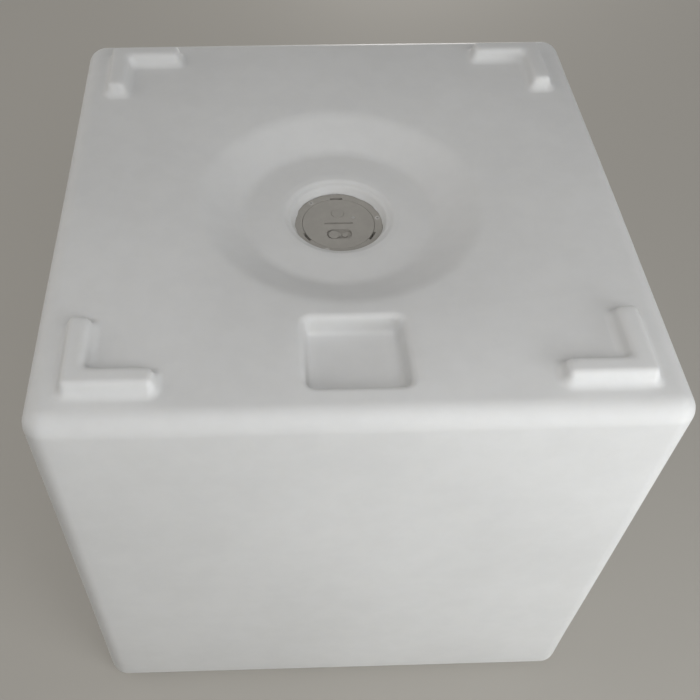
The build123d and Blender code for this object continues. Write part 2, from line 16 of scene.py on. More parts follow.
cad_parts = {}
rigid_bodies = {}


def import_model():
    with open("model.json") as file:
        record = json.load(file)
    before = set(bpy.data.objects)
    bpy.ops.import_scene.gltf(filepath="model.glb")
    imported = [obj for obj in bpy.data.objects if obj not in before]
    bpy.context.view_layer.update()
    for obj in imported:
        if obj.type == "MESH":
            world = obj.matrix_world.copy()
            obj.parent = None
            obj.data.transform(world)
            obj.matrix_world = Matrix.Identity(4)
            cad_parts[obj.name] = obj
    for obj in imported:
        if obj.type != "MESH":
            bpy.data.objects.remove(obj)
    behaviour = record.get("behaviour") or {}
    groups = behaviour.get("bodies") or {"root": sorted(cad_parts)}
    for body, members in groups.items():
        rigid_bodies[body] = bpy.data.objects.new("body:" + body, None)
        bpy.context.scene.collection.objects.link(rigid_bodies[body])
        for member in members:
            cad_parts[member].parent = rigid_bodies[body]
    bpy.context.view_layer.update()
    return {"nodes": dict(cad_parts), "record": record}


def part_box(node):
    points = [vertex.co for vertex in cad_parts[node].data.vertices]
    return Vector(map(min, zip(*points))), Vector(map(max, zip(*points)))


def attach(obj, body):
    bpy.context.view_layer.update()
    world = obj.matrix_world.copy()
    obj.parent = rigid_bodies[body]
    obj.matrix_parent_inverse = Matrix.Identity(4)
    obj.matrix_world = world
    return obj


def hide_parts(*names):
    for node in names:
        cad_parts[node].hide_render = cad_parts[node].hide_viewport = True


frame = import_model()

# %% [markdown]
# ## The camera
# A picture of a real thing is easiest to match when the camera is solved first. Once a size is
# assumed for the cube and for the floor tiles, the joints of the tiles and the outline of the
# cube fix where the photographer stood: about 1.2 m up, close in front, looking steeply down.
# The picture was cropped off centre, so the view is also shifted sideways, which keeps the
# cube's edges at their true slant.

# %% Camera: place, direction, lens and shift
PICTURE = 700
CAMERA_PLACE = Vector((-0.0815, -0.7441, 1.2167))
LOOK_DOWN = radians(50.38)
LOOK_RIGHT = radians(1.876)
ROLL = radians(0.184)
FOCAL_PIXELS = 903.53
AXIS_PIXEL = (286.29, 353.0)
SENSOR = 36.0

camera_data = bpy.data.cameras.new("camera")
camera_data.sensor_width = SENSOR
camera_data.lens = FOCAL_PIXELS / PICTURE * SENSOR
camera_data.shift_x = (PICTURE / 2 - AXIS_PIXEL[0]) / PICTURE
camera_data.shift_y = (AXIS_PIXEL[1] - PICTURE / 2) / PICTURE
camera = bpy.data.objects.new("camera", camera_data)
bpy.context.scene.collection.objects.link(camera)
turn = (
    Matrix.Rotation(-LOOK_RIGHT, 4, "Z")
    @ Matrix.Rotation(radians(90) - LOOK_DOWN, 4, "X")
    @ Matrix.Rotation(ROLL, 4, "Z")
)
camera.matrix_world = Matrix.Translation(CAMERA_PLACE) @ turn
bpy.context.scene.camera = camera
bpy.context.scene.view_settings.view_transform = "Standard"
print("lens in mm:", round(camera_data.lens, 2), "shift:", round(camera_data.shift_x, 4))

# %% [markdown]
# ## The light
# The picture is lit from the photographer's side. A soft light stands high in front and gives
# the underside its even tone. A lower one, in front and to the right, makes the front face the
# brightest and lets it fade towards its left edge. Both stand near, because near light falls
# off over the length of the cube. A wide warm lamp on the left stands in for a wall. One more
# stands lower than the underside, behind the cube, for the side that the first picture doesn't
# show. An even world fills the rest. Light simply adds up, so the strengths came from one trial
# picture for each lamp, and were then corrected.

# %% The four lamps, with power in watts
LIGHT_AIM = Vector((0.0, 0.0, 0.45))
HIGH_WINDOW = {"azimuth": 10, "elevation": 50, "distance": 1.5, "size": 1.0, "power": 8.1}
LOW_WINDOW = {"azimuth": 38, "elevation": 9, "distance": 1.45, "size": 0.9, "power": 9.8}
LEFT_WALL = {"azimuth": -100, "elevation": 22, "distance": 2.1, "size": 2.0, "power": 10.5}
BACK_WALL = {"azimuth": 170, "elevation": -3.6, "distance": 2.6, "size": 0.56, "power": 16.0}


def area_lamp(name, place, tint):
    """Square lamp that faces the aim. Azimuth 0 is in front, and 90 is to the right."""
    data = bpy.data.lights.new(name, "AREA")
    data.size = place["size"]
    data.energy = place["power"]
    data.color = tint
    lamp = bpy.data.objects.new(name, data)
    bpy.context.scene.collection.objects.link(lamp)
    aside = Matrix.Rotation(radians(place["azimuth"]), 3, "Z")
    raised = Matrix.Rotation(-radians(place["elevation"]), 3, "X")
    spot = LIGHT_AIM + aside @ raised @ Vector((0, -place["distance"], 0))
    facing = (LIGHT_AIM - spot).to_track_quat("-Z", "Y")
    lamp.matrix_world = Matrix.Translation(spot) @ facing.to_matrix().to_4x4()


area_lamp("high_window", HIGH_WINDOW, (1.0, 1.0, 0.995))
area_lamp("low_window", LOW_WINDOW, (0.965, 0.99, 1.0))
area_lamp("left_wall", LEFT_WALL, (1.0, 0.97, 0.92))
area_lamp("back_wall", BACK_WALL, (1.0, 0.98, 0.95))
print("lamps:", [lamp.name for lamp in bpy.data.lights])

# %% [markdown]
# ## The world, and what the camera sees of it
# The world lights the table evenly from all round, and only weakly. If the camera saw that weak
# world, the background would be dark. So rays from the camera, and rays in reflections and
# through clear pieces, see a pale backdrop in its place, which lights nothing.

# %% World
WORLD_LEVEL = 0.19
WORLD_TINT = (1.0, 0.995, 0.98, 1.0)
BACKDROP = (0.86, 0.86, 0.85, 1.0)

world = bpy.data.worlds.new("room")
bpy.context.scene.world = world
world.use_nodes = True
sky = world.node_tree
sky.nodes.clear()
even = sky.nodes.new("ShaderNodeBackground")
even.inputs["Strength"].default_value = WORLD_LEVEL
even.inputs["Color"].default_value = WORLD_TINT
pale = sky.nodes.new("ShaderNodeBackground")
pale.inputs["Color"].default_value = BACKDROP
ray = sky.nodes.new("ShaderNodeLightPath")
seen = ray.outputs["Is Camera Ray"]
for kind in ("Is Glossy Ray", "Is Transmission Ray"):
    either = sky.nodes.new("ShaderNodeMath")
    either.operation = "MAXIMUM"
    sky.links.new(seen, either.inputs[0])
    sky.links.new(ray.outputs[kind], either.inputs[1])
    seen = either.outputs[0]
choice = sky.nodes.new("ShaderNodeMixShader")
sky_out = sky.nodes.new("ShaderNodeOutputWorld")
sky.links.new(seen, choice.inputs["Fac"])
sky.links.new(even.outputs[0], choice.inputs[1])
sky.links.new(pale.outputs[0], choice.inputs[2])
sky.links.new(choice.outputs[0], sky_out.inputs["Surface"])
print("nodes in the world:", len(sky.nodes))

# %% [markdown]
# ## Writing shader sums as Python
# A finish is mostly arithmetic: a pattern, stretched, mixed and clipped. Wiring Math nodes by
# hand hides that, so one small class wraps a socket and turns + and * into Math nodes. Colours
# go through a Mix node, because a Math node would turn them grey. Every other node comes from
# one method, which sets a node's own settings first and its sockets afterwards.

# %% The socket class and the finish class
MIX_FIRST_COLOR = 6
MIX_SECOND_COLOR = 7
MIX_COLOR_OUT = 2


class Field:
    """A number that changes over a surface. Sums on it add Math nodes to its finish."""

    def __init__(self, finish, socket):
        self.finish = finish
        self.socket = socket

    def math(self, operation, first, second):
        made = self.finish.node("ShaderNodeMath", {"operation": operation}, {0: first, 1: second})
        return Field(self.finish, made.outputs[0])

    def __add__(self, other):
        return self.math("ADD", self, other)

    def __mul__(self, other):
        return self.math("MULTIPLY", self, other)

    __radd__ = __add__
    __rmul__ = __mul__


class Finish:
    """A material with one Principled shader and the means to feed it."""

    def __init__(self, name):
        self.material = bpy.data.materials.new(name)
        self.material.use_nodes = True
        self.tree = self.material.node_tree
        self.shader = self.tree.nodes["Principled BSDF"]
        self.place = self.node("ShaderNodeTexCoord").outputs["Object"]

    def node(self, kind, settings=None, inputs=None):
        """Adds a node: its settings first, then a value or a link for each named input."""
        made = self.tree.nodes.new(kind)
        for key, setting in (settings or {}).items():
            setattr(made, key, setting)
        for key, source in (inputs or {}).items():
            self.feed(made.inputs[key], source)
        return made

    def feed(self, target, source):
        """Sets a socket to a constant, or links it."""
        if isinstance(source, Field):
            source = source.socket
        if isinstance(source, bpy.types.NodeSocket):
            self.tree.links.new(source, target)
        else:
            target.default_value = source

    def set(self, **values):
        """Sets or links sockets of the Principled shader, named with _ for a space."""
        for key, source in values.items():
            self.feed(self.shader.inputs[key.replace("_", " ")], source)

    def noise(self, scale, detail=2.0, rough=0.5, stretch=(1, 1, 1)):
        """Cloudy pattern, from 0 to 1, of a scale in features per metre."""
        spot = self.node("ShaderNodeMapping", None, {"Vector": self.place, "Scale": stretch})
        values = {"Vector": spot.outputs[0], "Scale": scale, "Detail": detail, "Roughness": rough}
        return Field(self, self.node("ShaderNodeTexNoise", None, values).outputs[0])

    def ramp(self, field, low, high):
        """Field stretched so that low becomes 0 and high becomes 1, with a soft start and end."""
        settings = {"interpolation_type": "SMOOTHSTEP"}
        values = {"Value": field, "From Min": low, "From Max": high}
        return Field(self, self.node("ShaderNodeMapRange", settings, values).outputs[0])

    def mix(self, factor, first, second):
        """Colour between two colours."""
        settings = {"data_type": "RGBA"}
        values = {"Factor": factor, MIX_FIRST_COLOR: first, MIX_SECOND_COLOR: second}
        return self.node("ShaderNodeMix", settings, values).outputs[MIX_COLOR_OUT]

    def bump(self, height, depth, strength):
        """Normal bent by a height field of a depth in metres."""
        values = {"Height": height, "Distance": depth, "Strength": strength}
        return self.node("ShaderNodeBump", None, values).outputs[0]


def shade(color, factor):
    """Colour made lighter or darker by a factor, with full alpha."""
    return tuple(min(1.0, c * factor) for c in color[:3]) + (1.0,)


print("half of a mid grey:", [round(part, 2) for part in shade((0.5, 0.5, 0.5), 0.5)])

# %% [markdown]
# ## Milky polyethylene
# The mould leaves a skin that is smooth to the hand, with a faint orange peel. The wall is not
# quite even in thickness, and light goes a little way in, so the white is softly clouded. Three
# sizes of noise do this: clouds as wide as a hand, a mottling of a few centimetres, and a peel
# of about a millimetre that only bends the normal. A little subsurface light softens the edges.
# A few drawn-out scuffs are rougher than the rest.

# %% Finish of the moulded body
NOISE_LOW = 0.3
NOISE_HIGH = 0.7
MILK = (0.72, 0.72, 0.715, 1.0)
CLOUD_SCALE = 5.0
MOTTLE_SCALE = 38.0
SCUFF_SCALE = 22.0
SCUFF_STRETCH = (1, 6, 1)
SCUFF_LOW = 0.62
SCUFF_HIGH = 0.78
PEEL_SCALE = 900.0
PEEL_DEPTH = 0.00008
LIGHT_PATH = 0.007


def milky_body(name):
    """Clouded white with a fine peel, rougher where it is clouded or scuffed."""
    finish = Finish(name)
    clouds = finish.ramp(finish.noise(CLOUD_SCALE, 2.0), NOISE_LOW, NOISE_HIGH)
    mottle = finish.ramp(finish.noise(MOTTLE_SCALE, 3.0, 0.6), NOISE_LOW, NOISE_HIGH)
    tone = clouds * 0.65 + mottle * 0.35
    color = finish.mix(tone, shade(MILK, 0.955), shade(MILK, 1.03))
    drawn_out = finish.noise(SCUFF_SCALE, 4.0, 0.7, SCUFF_STRETCH)
    scuffs = finish.ramp(drawn_out, SCUFF_LOW, SCUFF_HIGH)
    finish.set(Base_Color=color, Roughness=0.52 + clouds * 0.06 + scuffs * 0.08)
    peel = finish.bump(finish.noise(PEEL_SCALE, 1.0), PEEL_DEPTH, 0.5)
    finish.set(Normal=peel)
    finish.set(Subsurface_Weight=0.3, Subsurface_Scale=LIGHT_PATH)
    finish.set(Subsurface_Radius=(1.0, 0.95, 0.85), Specular_IOR_Level=0.3)
    return finish.material


print("scale of the light's path in the wall, in mm:", LIGHT_PATH * 1000)

# %% [markdown]
# ## Plastics, rubbers and metals
# The other finishes differ in few things: colour, gloss, the size of the grain and how deep it
# is. One function makes all moulded and rubber finishes, with wear that makes spots a little
# lighter or darker. Metal needs a second function, because its grain runs one way, and a
# circuit board a third, for its traces.

# %% Finishes of the lamp unit
def moulded(name, color, rough, grain, depth, wear=0.04, clear=0.0):
    """Plastic or rubber: fine grain in the normal, faint stains in colour and gloss."""
    finish = Finish(name)
    stain = finish.ramp(finish.noise(grain / 14, 3.0, 0.6), 0.35, 0.7)
    grit = finish.noise(grain, 2.0, 0.7)
    tone = stain * 0.6 + finish.ramp(grit, NOISE_LOW, NOISE_HIGH) * 0.4
    finish.set(Base_Color=finish.mix(tone, shade(color, 1 - wear), shade(color, 1 + wear)))
    finish.set(Roughness=rough + stain * 0.08, Normal=finish.bump(grit, depth, 0.6))
    if clear:
        finish.set(Transmission_Weight=clear)
    return finish.material


def brushed(name, color, rough, stretch=(1, 1, 30)):
    """Metal with fine lines along one way, which vary its gloss and bend the normal."""
    finish = Finish(name)
    lines = finish.noise(420.0, 3.0, 0.6, stretch)
    finish.set(Base_Color=finish.mix(lines, shade(color, 0.85), shade(color, 1.1)), Metallic=1.0)
    finish.set(Roughness=rough + lines * 0.18, Normal=finish.bump(lines, 0.00002, 0.5))
    return finish.material


def circuit(name, color, trace):
    """Coated board: winding traces that show through the coat in a tone of their own."""
    finish = Finish(name)
    settings = {"wave_type": "BANDS", "bands_direction": "DIAGONAL"}
    spot = finish.node("ShaderNodeMapping", None, {"Vector": finish.place, "Scale": (1, 1, 0)})
    values = {"Vector": spot.outputs[0], "Scale": 70.0, "Distortion": 5.0, "Detail": 0.0}
    bands = Field(finish, finish.node("ShaderNodeTexWave", settings, values).outputs[1])
    lines = finish.ramp(bands, 0.62, 0.7)
    finish.set(Base_Color=finish.mix(lines, color, trace), Roughness=0.32 + lines * 0.08)
    finish.set(Coat_Weight=0.4, Normal=finish.bump(lines, 0.00004, 0.6))
    return finish.material


GREY = (0.365, 0.348, 0.32, 1.0)
finishes = {
    "milky_polyethylene": milky_body("milky_polyethylene"),
    "grey_plastic": moulded("grey_plastic", GREY, 0.62, 1200.0, 0.00008, 0.06),
    "grey_rubber": moulded("grey_rubber", shade(GREY, 0.97), 0.72, 900.0, 0.00005, 0.05),
    "stainless_steel": brushed("stainless_steel", (0.44, 0.43, 0.415, 1), 0.42),
    "black_rubber": moulded("black_rubber", (0.03, 0.03, 0.031, 1), 0.6, 900.0, 0.00002),
    "black_plastic": moulded("black_plastic", (0.04, 0.04, 0.042, 1), 0.45, 1200.0, 0.00002),
    "nickel": brushed("nickel", (0.62, 0.6, 0.56, 1), 0.3, (20, 1, 1)),
    "clear_plastic": moulded("clear_plastic", (0.5, 0.49, 0.47, 1), 0.25, 700.0, 0.00001, 0.02, 0.3),
    "green_board": circuit("green_board", (0.02, 0.15, 0.06, 1), (0.06, 0.28, 0.12, 1)),
    "white_plastic": moulded("white_plastic", (0.72, 0.72, 0.7, 1), 0.5, 1000.0, 0.00002),
    "cell_wrap": moulded("cell_wrap", (0.05, 0.17, 0.42, 1), 0.3, 300.0, 0.00001),
    "lead_sleeve": moulded("lead_sleeve", (0.5, 0.05, 0.04, 1), 0.5, 800.0, 0.00001),
    "aluminium": brushed("aluminium", (0.62, 0.62, 0.63, 1), 0.32),
    "white_board": circuit("white_board", (0.78, 0.78, 0.76, 1), (0.7, 0.69, 0.66, 1)),
    "led_phosphor": moulded("led_phosphor", (0.85, 0.72, 0.2, 1), 0.35, 500.0, 0.00001),
    "milky_dome": moulded("milky_dome", (0.8, 0.8, 0.79, 1), 0.4, 600.0, 0.00001, 0.02, 0.25),
}
print("finishes:", len(finishes))

# %% [markdown]
# ## Dressing the solids
# Each solid already has its shape, so it keeps its mesh and gets the finish of its slot. The
# record says which slot a solid takes, so the lesson doesn't repeat that list.

# %% Give every solid its finish
for row in frame["record"]["subparts"]:
    node = frame["nodes"][row["node"]]
    node.data.materials.clear()
    node.data.materials.append(finishes[row["material_slot"]])

# %% [markdown]
# ## The moulded body, and why it is a new surface
# Plastic that is moulded by turning has no sharp edge: powder melts on a hot wall, and each
# corner comes out round and a little uneven. The measured shell is exact but too crisp for the
# eye. A Remesh and Smooth would soften it and lose its sizes, so the body is worked out again
# from its sizes as one grid: rings that start at the middle of the table top, run up the sides
# and over the edge, cross the underside into the neck, and come back on the inner side.

# %% Sizes of the body, in metres
BODY_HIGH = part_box("shell")[1]
HALF = BODY_HIGH.x
WALL = 0.004
CORNER = 0.023
EDGE = 0.021
PLANE_END = HALF - EDGE
FOOT_HEIGHT = 0.015
UNDERSIDE_Z = BODY_HIGH.z - FOOT_HEIGHT

FOOT_INSET = 0.032
FOOT_WIDTH = 0.027
FOOT_ARM = 0.088
FOOT_CORNER = 0.009
FOOT_DRAFT = radians(15)

POCKET_HALF_X = 0.0475
POCKET_HALF_Y = 0.043
POCKET_MIDDLE_Y = -HALF + 0.040 + POCKET_HALF_Y
POCKET_CORNER = 0.010
POCKET_DEPTH = 0.027
POCKET_DRAFT = radians(8)

DISH_RADIUS = 0.150
DISH_FLOOR_RADIUS = 0.105
DISH_FLOOR_Z = UNDERSIDE_Z - 0.032
HOLLOW_RADIUS = 0.277
HOLLOW_DROP = 0.0086
HOLLOW_LEAD = 0.0001
BRINK_Z = UNDERSIDE_Z + HOLLOW_LEAD - HOLLOW_DROP

RING_LOW, RING_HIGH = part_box("neck_ring")
MOUTH_Z = RING_HIGH.z
LEDGE_Z = RING_LOW.z
LEDGE_RADIUS = 0.041
NECK_RADIUS = RING_HIGH.x + 0.0002
LIP_ROUND = DISH_FLOOR_Z - MOUTH_Z
print("neck radius:", round(NECK_RADIUS, 4), "height of the lip:", round(LIP_ROUND, 4))

# %% [markdown]
# ## Soft corners by formula
# Two heights meet in a sharp corner where the smaller (or larger) of them is taken. Taking off
# a little wherever they are nearly equal rounds the corner. That one trick makes the slopes of
# the dish and the inner corner of each foot, each with its own softness.

# %% Soft minimum, soft maximum and the distance inside an outline
def soft_min(first, second, blend):
    """The smaller of two, with a rounded corner between them.

    Closeness is 1 where the two are equal and 0 where they differ by the blend or more. A
    quarter of the blend times the square of the closeness comes off the smaller.
    """
    closeness = np.maximum(blend - np.abs(first - second), 0) / blend
    return np.minimum(first, second) - blend / 4 * closeness**2


def soft_max(first, second, blend):
    """The larger of two, with a rounded corner between them."""
    return -soft_min(-first, -second, blend)


def inside(x, y, half_x, half_y, corner):
    """How far a place lies inside a rounded rectangle round the origin, below 0 outside it.

    Past the corner's centre it is the corner radius less the distance to that centre. Elsewhere
    it is the distance to the nearest side.
    """
    over_x = np.abs(x) - half_x + corner
    over_y = np.abs(y) - half_y + corner
    beyond = np.hypot(np.maximum(over_x, 0), np.maximum(over_y, 0))
    return corner - beyond - np.minimum(np.maximum(over_x, over_y), 0)


print("two equal heights, 4 mm blend, in mm:", round(float(soft_min(0.0, 0.0, 0.004)) * 1000, 2))

# %% [markdown]
# ## A wall with draft
# A mould lets go of a wall only if the wall leans, so the sides of the feet and the pocket have
# draft. They also need true rounds at both ends, because the light shows every break in them. A
# soft minimum would do for one corner, but its size changes with the slope. So the height is
# written out as round, straight line and round, over the distance into the wall.

# %% A drafted wall with a round at its top and its root
def wall_step(inset, height, draft, top_round, root_round):
    """Height on a wall, over how far a place lies inside the wall's outline.

    The wall is a straight line as steep as its draft lets it be. A round of radius r between two
    lines that turn by an angle starts r times the tangent of half that angle from their corner,
    and its height is r less the root of r squared less the square of the way along it.
    """
    steep = np.pi / 2 - draft
    lead = np.tan(steep / 2)
    brink = height / np.tan(steep)
    place = np.clip(inset, -root_round * lead, brink + top_round * lead)
    past_root = place + root_round * lead
    to_top = brink + top_round * lead - place
    root = root_round - np.sqrt(np.maximum(root_round**2 - past_root**2, 0))
    top = height - top_round + np.sqrt(np.maximum(top_round**2 - to_top**2, 0))
    wall = np.where(to_top < top_round * np.sin(steep), top, place * np.tan(steep))
    return np.where(past_root < root_round * np.sin(steep), root, wall)


sample = wall_step(np.array([-0.05, 0.05]), FOOT_HEIGHT, FOOT_DRAFT, 0.004, 0.004)
print("height outside a foot and on it, in mm:", np.round(sample * 1000, 2))

# %% [markdown]
# ## The underside as a height over the plan
# Seen from above nothing on the underside hangs over, so its height is a function of the place.
# It starts as a shallow arc with the dish in it, then takes on the feet and loses the pocket.
# The inner side of the wall is the same function with every outline and height moved by a skin.

# %% Height of the underside
RIM_BLEND = 0.003
BOWL_BLEND = 0.0034
FOOT_FILLET_BLEND = 0.009
FOOT_TOP_ROUND = 0.007
FOOT_ROOT_ROUND = 0.0085
POCKET_FLOOR_ROUND = 0.0075
POCKET_RIM_ROUND = 0.009


def foot_inside(x, y):
    """How far a place lies inside an L-shaped foot: inside the square that holds the L, and
    outside the square that is cut from it."""
    x, y = np.abs(x), np.abs(y)
    outer = HALF - FOOT_INSET
    inner = outer - FOOT_WIDTH
    middle = outer - FOOT_ARM / 2
    square = inside(x - middle, y - middle, FOOT_ARM / 2, FOOT_ARM / 2, FOOT_CORNER)
    arms = soft_max(x - inner, y - inner, FOOT_FILLET_BLEND)
    return soft_min(square, arms, FOOT_FILLET_BLEND)


def underside(x, y, skin=0.0):
    """Height of the underside over a place, lowered and drawn in by a skin.

    The dish's floor and slope meet softly, and so do the slope and the hollow arc. A foot is
    added as a drafted wall that rises. The pocket is taken off as a drafted wall that falls to
    a level floor, so its depth is less where the arc has already sunk. A skin moves a wall's
    outline by the skin times the tangent of half the wall's turn, and its rounds by the skin.
    """
    radius = np.hypot(x, y)
    slope = (BRINK_Z - DISH_FLOOR_Z) / (DISH_RADIUS - DISH_FLOOR_RADIUS)
    side = DISH_FLOOR_Z + (radius - DISH_FLOOR_RADIUS) * slope - skin * np.hypot(1, slope)
    dish = soft_max(DISH_FLOOR_Z - skin, side, BOWL_BLEND)
    reach = HOLLOW_RADIUS - np.clip(radius, DISH_FLOOR_RADIUS, HOLLOW_RADIUS)
    steepness = HOLLOW_DROP / (HOLLOW_RADIUS - DISH_RADIUS) ** 2
    hollow = UNDERSIDE_Z + HOLLOW_LEAD - steepness * reach**2 - skin
    ground = np.minimum(soft_min(dish, hollow, RIM_BLEND), UNDERSIDE_Z - skin)
    foot = wall_step(
        foot_inside(x, y) - skin * np.tan(np.pi / 4 - FOOT_DRAFT / 2),
        FOOT_HEIGHT,
        FOOT_DRAFT,
        FOOT_TOP_ROUND - skin,
        FOOT_ROOT_ROUND + skin,
    )
    sunk = np.minimum(UNDERSIDE_Z - skin - ground, HOLLOW_DROP)
    depth = inside(x, y - POCKET_MIDDLE_Y, POCKET_HALF_X, POCKET_HALF_Y, POCKET_CORNER)
    pocket = wall_step(
        depth + skin * np.tan(np.pi / 4 - POCKET_DRAFT / 2) - sunk * np.tan(POCKET_DRAFT),
        POCKET_DEPTH - sunk,
        POCKET_DRAFT,
        POCKET_FLOOR_ROUND + skin,
        POCKET_RIM_ROUND - skin,
    )
    return ground + foot - pocket


pocket_z = float(underside(np.array(0.0), np.array(POCKET_MIDDLE_Y)))
print("depth of the pocket under the feet's roots in mm:", round((UNDERSIDE_Z - pocket_z) * 1000, 1))

# %% [markdown]
# ## Rings that know where the detail is
# A plain square grid would step across the walls of the feet. Here each ring is an inset of the
# cube's outline, so the long walls of the feet and the pocket lie along the rings, and the
# places along a ring are set closer together where an arm ends or the pocket's side runs. Near
# the dish the squares turn into circles.

# %% Places along one half of a side, from its middle to the corner
STEADY_FAR = 0.200
STEADY_NEAR = 0.060
FOOT_RING = HALF - FOOT_INSET - FOOT_WIDTH
ALONG_STOPS = [0.0, 0.039, 0.053, 0.168, 0.188, FOOT_RING - FOOT_CORNER]
ALONG_COUNTS = [5, 13, 11, 17, 7]
ARC_COUNT = 6


def spread(stops, counts):
    """Values that run through the stops, with that many equal steps between each two."""
    parts = [np.linspace(a, b, n, endpoint=False) for a, b, n in zip(stops, stops[1:], counts)]
    return np.concatenate(parts + [stops[-1:]])


ALONG = spread(ALONG_STOPS, ALONG_COUNTS)
HALF_COUNT = len(ALONG) + ARC_COUNT


def squares(half, corner):
    """One half side of rounded squares, as arrays of x and y with a row for each ring.

    Places along the straight stretch stay where they are up to a steady limit, and past it are
    squeezed evenly into what is left. The rest are at equal angles round half a corner.
    """
    half, corner = half[:, None], corner[:, None]
    end = half - corner
    steady = np.where(half >= FOOT_RING - CORNER / 4, STEADY_FAR, STEADY_NEAR)
    squeezed = steady + (ALONG - steady) * (end - steady) / (ALONG[-1] - steady)
    straight = np.where(ALONG <= steady, ALONG, squeezed)
    angle = np.linspace(0, np.pi / 4, ARC_COUNT + 1)[1:]
    x = np.hstack([straight, end + corner * np.sin(angle)])
    y = np.hstack([-half + 0 * straight, -end - corner * np.cos(angle)])
    return x, y


def circles(radius):
    """One half side of circles, at equal angles from the middle of the side to its corner."""
    angle = np.linspace(0, np.pi / 4, HALF_COUNT)
    return radius[:, None] * np.sin(angle), -radius[:, None] * np.cos(angle)


def whole(x, y):
    """Whole rings from a half side: mirrored to a side, then turned for the other sides."""
    x = np.hstack([-x[:, ::-1], x[:, 1:]])[:, :-1]
    y = np.hstack([y[:, ::-1], y[:, 1:]])[:, :-1]
    turns = [(x, y), (-y, x), (-x, -y), (y, -x)]
    return np.hstack([turn[0] for turn in turns]), np.hstack([turn[1] for turn in turns])


print("points round a ring:", 8 * (HALF_COUNT - 1))

# %% [markdown]
# ## The neck and its ragged mouth
# The neck is a profile of radius and height. Its lip has three fine swells. Its mouth looks cut
# by hand, with a ragged film of plastic left over the edge of the grey ring, so each place round
# the mouth reaches in by a sum of waves of different counts, which hides that it is a formula.

# %% Profile of the neck, and the film at its mouth
LIP_REACH = 0.018
LIP_SWELL = 0.00045
LIP_SWELLS = 3
MOUTH_ROW = 3
MOUTH_RAG = 0.0019
FILM_LOW = 0.0001
FILM_HIGH = 0.0024
RAG_LEVEL = 0.45
RAG_MOST = 1.2
RAG_HEIGHTS = np.array([0.0003, 0.0005, 0.0009, 0.0014])
RAG_SHARES = np.array([0.6, 1.0, 0.9, 0.35])
RAG_WAVES = [(2, 0.0, 0.16), (3, -0.785, 0.36), (7, 0.4, 0.2), (13, 1.7, 0.15), (24, 3.0, 0.1)]


def neck_profile(skin, steps):
    """Radius and height up the neck: ledge, upright wall and a quarter oval out to the dish.

    The swells add a sine of the angle to both halves of the oval, and fade at its two ends.
    """
    turn = np.linspace(0, np.pi / 2, steps)
    swell = LIP_SWELL * np.sin(2 * np.pi * LIP_SWELLS * turn / (np.pi / 2)) * (skin == 0)
    swell = swell * np.sin(2 * turn)
    out = NECK_RADIUS + LIP_REACH - (LIP_REACH - skin + swell) * np.cos(turn)
    up = MOUTH_Z + (LIP_ROUND - skin + swell) * np.sin(turn)
    wall = NECK_RADIUS + skin
    radius = np.concatenate([[LEDGE_RADIUS, wall, wall], out])
    height = np.concatenate([[LEDGE_Z - skin] * 2, [(LEDGE_Z + MOUTH_Z) / 2], up])
    return radius, height


def ragged(x, y, heights):
    """Draws each place of the mouth in by the waves of its angle, times the share of its height.

    The share runs from 0 under the film, through the listed shares, to 0 over it.
    """
    stops = np.concatenate([[FILM_LOW], RAG_HEIGHTS, [FILM_HIGH]])
    share = np.interp(heights - MOUTH_Z, stops, np.concatenate([[0], RAG_SHARES, [0]]))
    angle = np.arctan2(y, x)
    waves = sum(part * np.sin(count * angle + shift) for count, shift, part in RAG_WAVES)
    pull = MOUTH_RAG * np.clip(RAG_LEVEL + waves, 0, RAG_MOST) * share[:, None] / np.hypot(x, y)
    return x * (1 - pull), y * (1 - pull)


print("the film reaches in by up to", round(MOUTH_RAG * RAG_MOST * 1000, 2), "mm")

# %% [markdown]
# ## The rings, from the neck out to the table top
# Dish and underside take their height from the formula. The outer edge, the side and the lower
# edge are a profile again, of inset and height. One function lays the rings of a skin, and it
# runs twice: for the outer skin, and for the inner one with fewer rings, as nobody sees it.

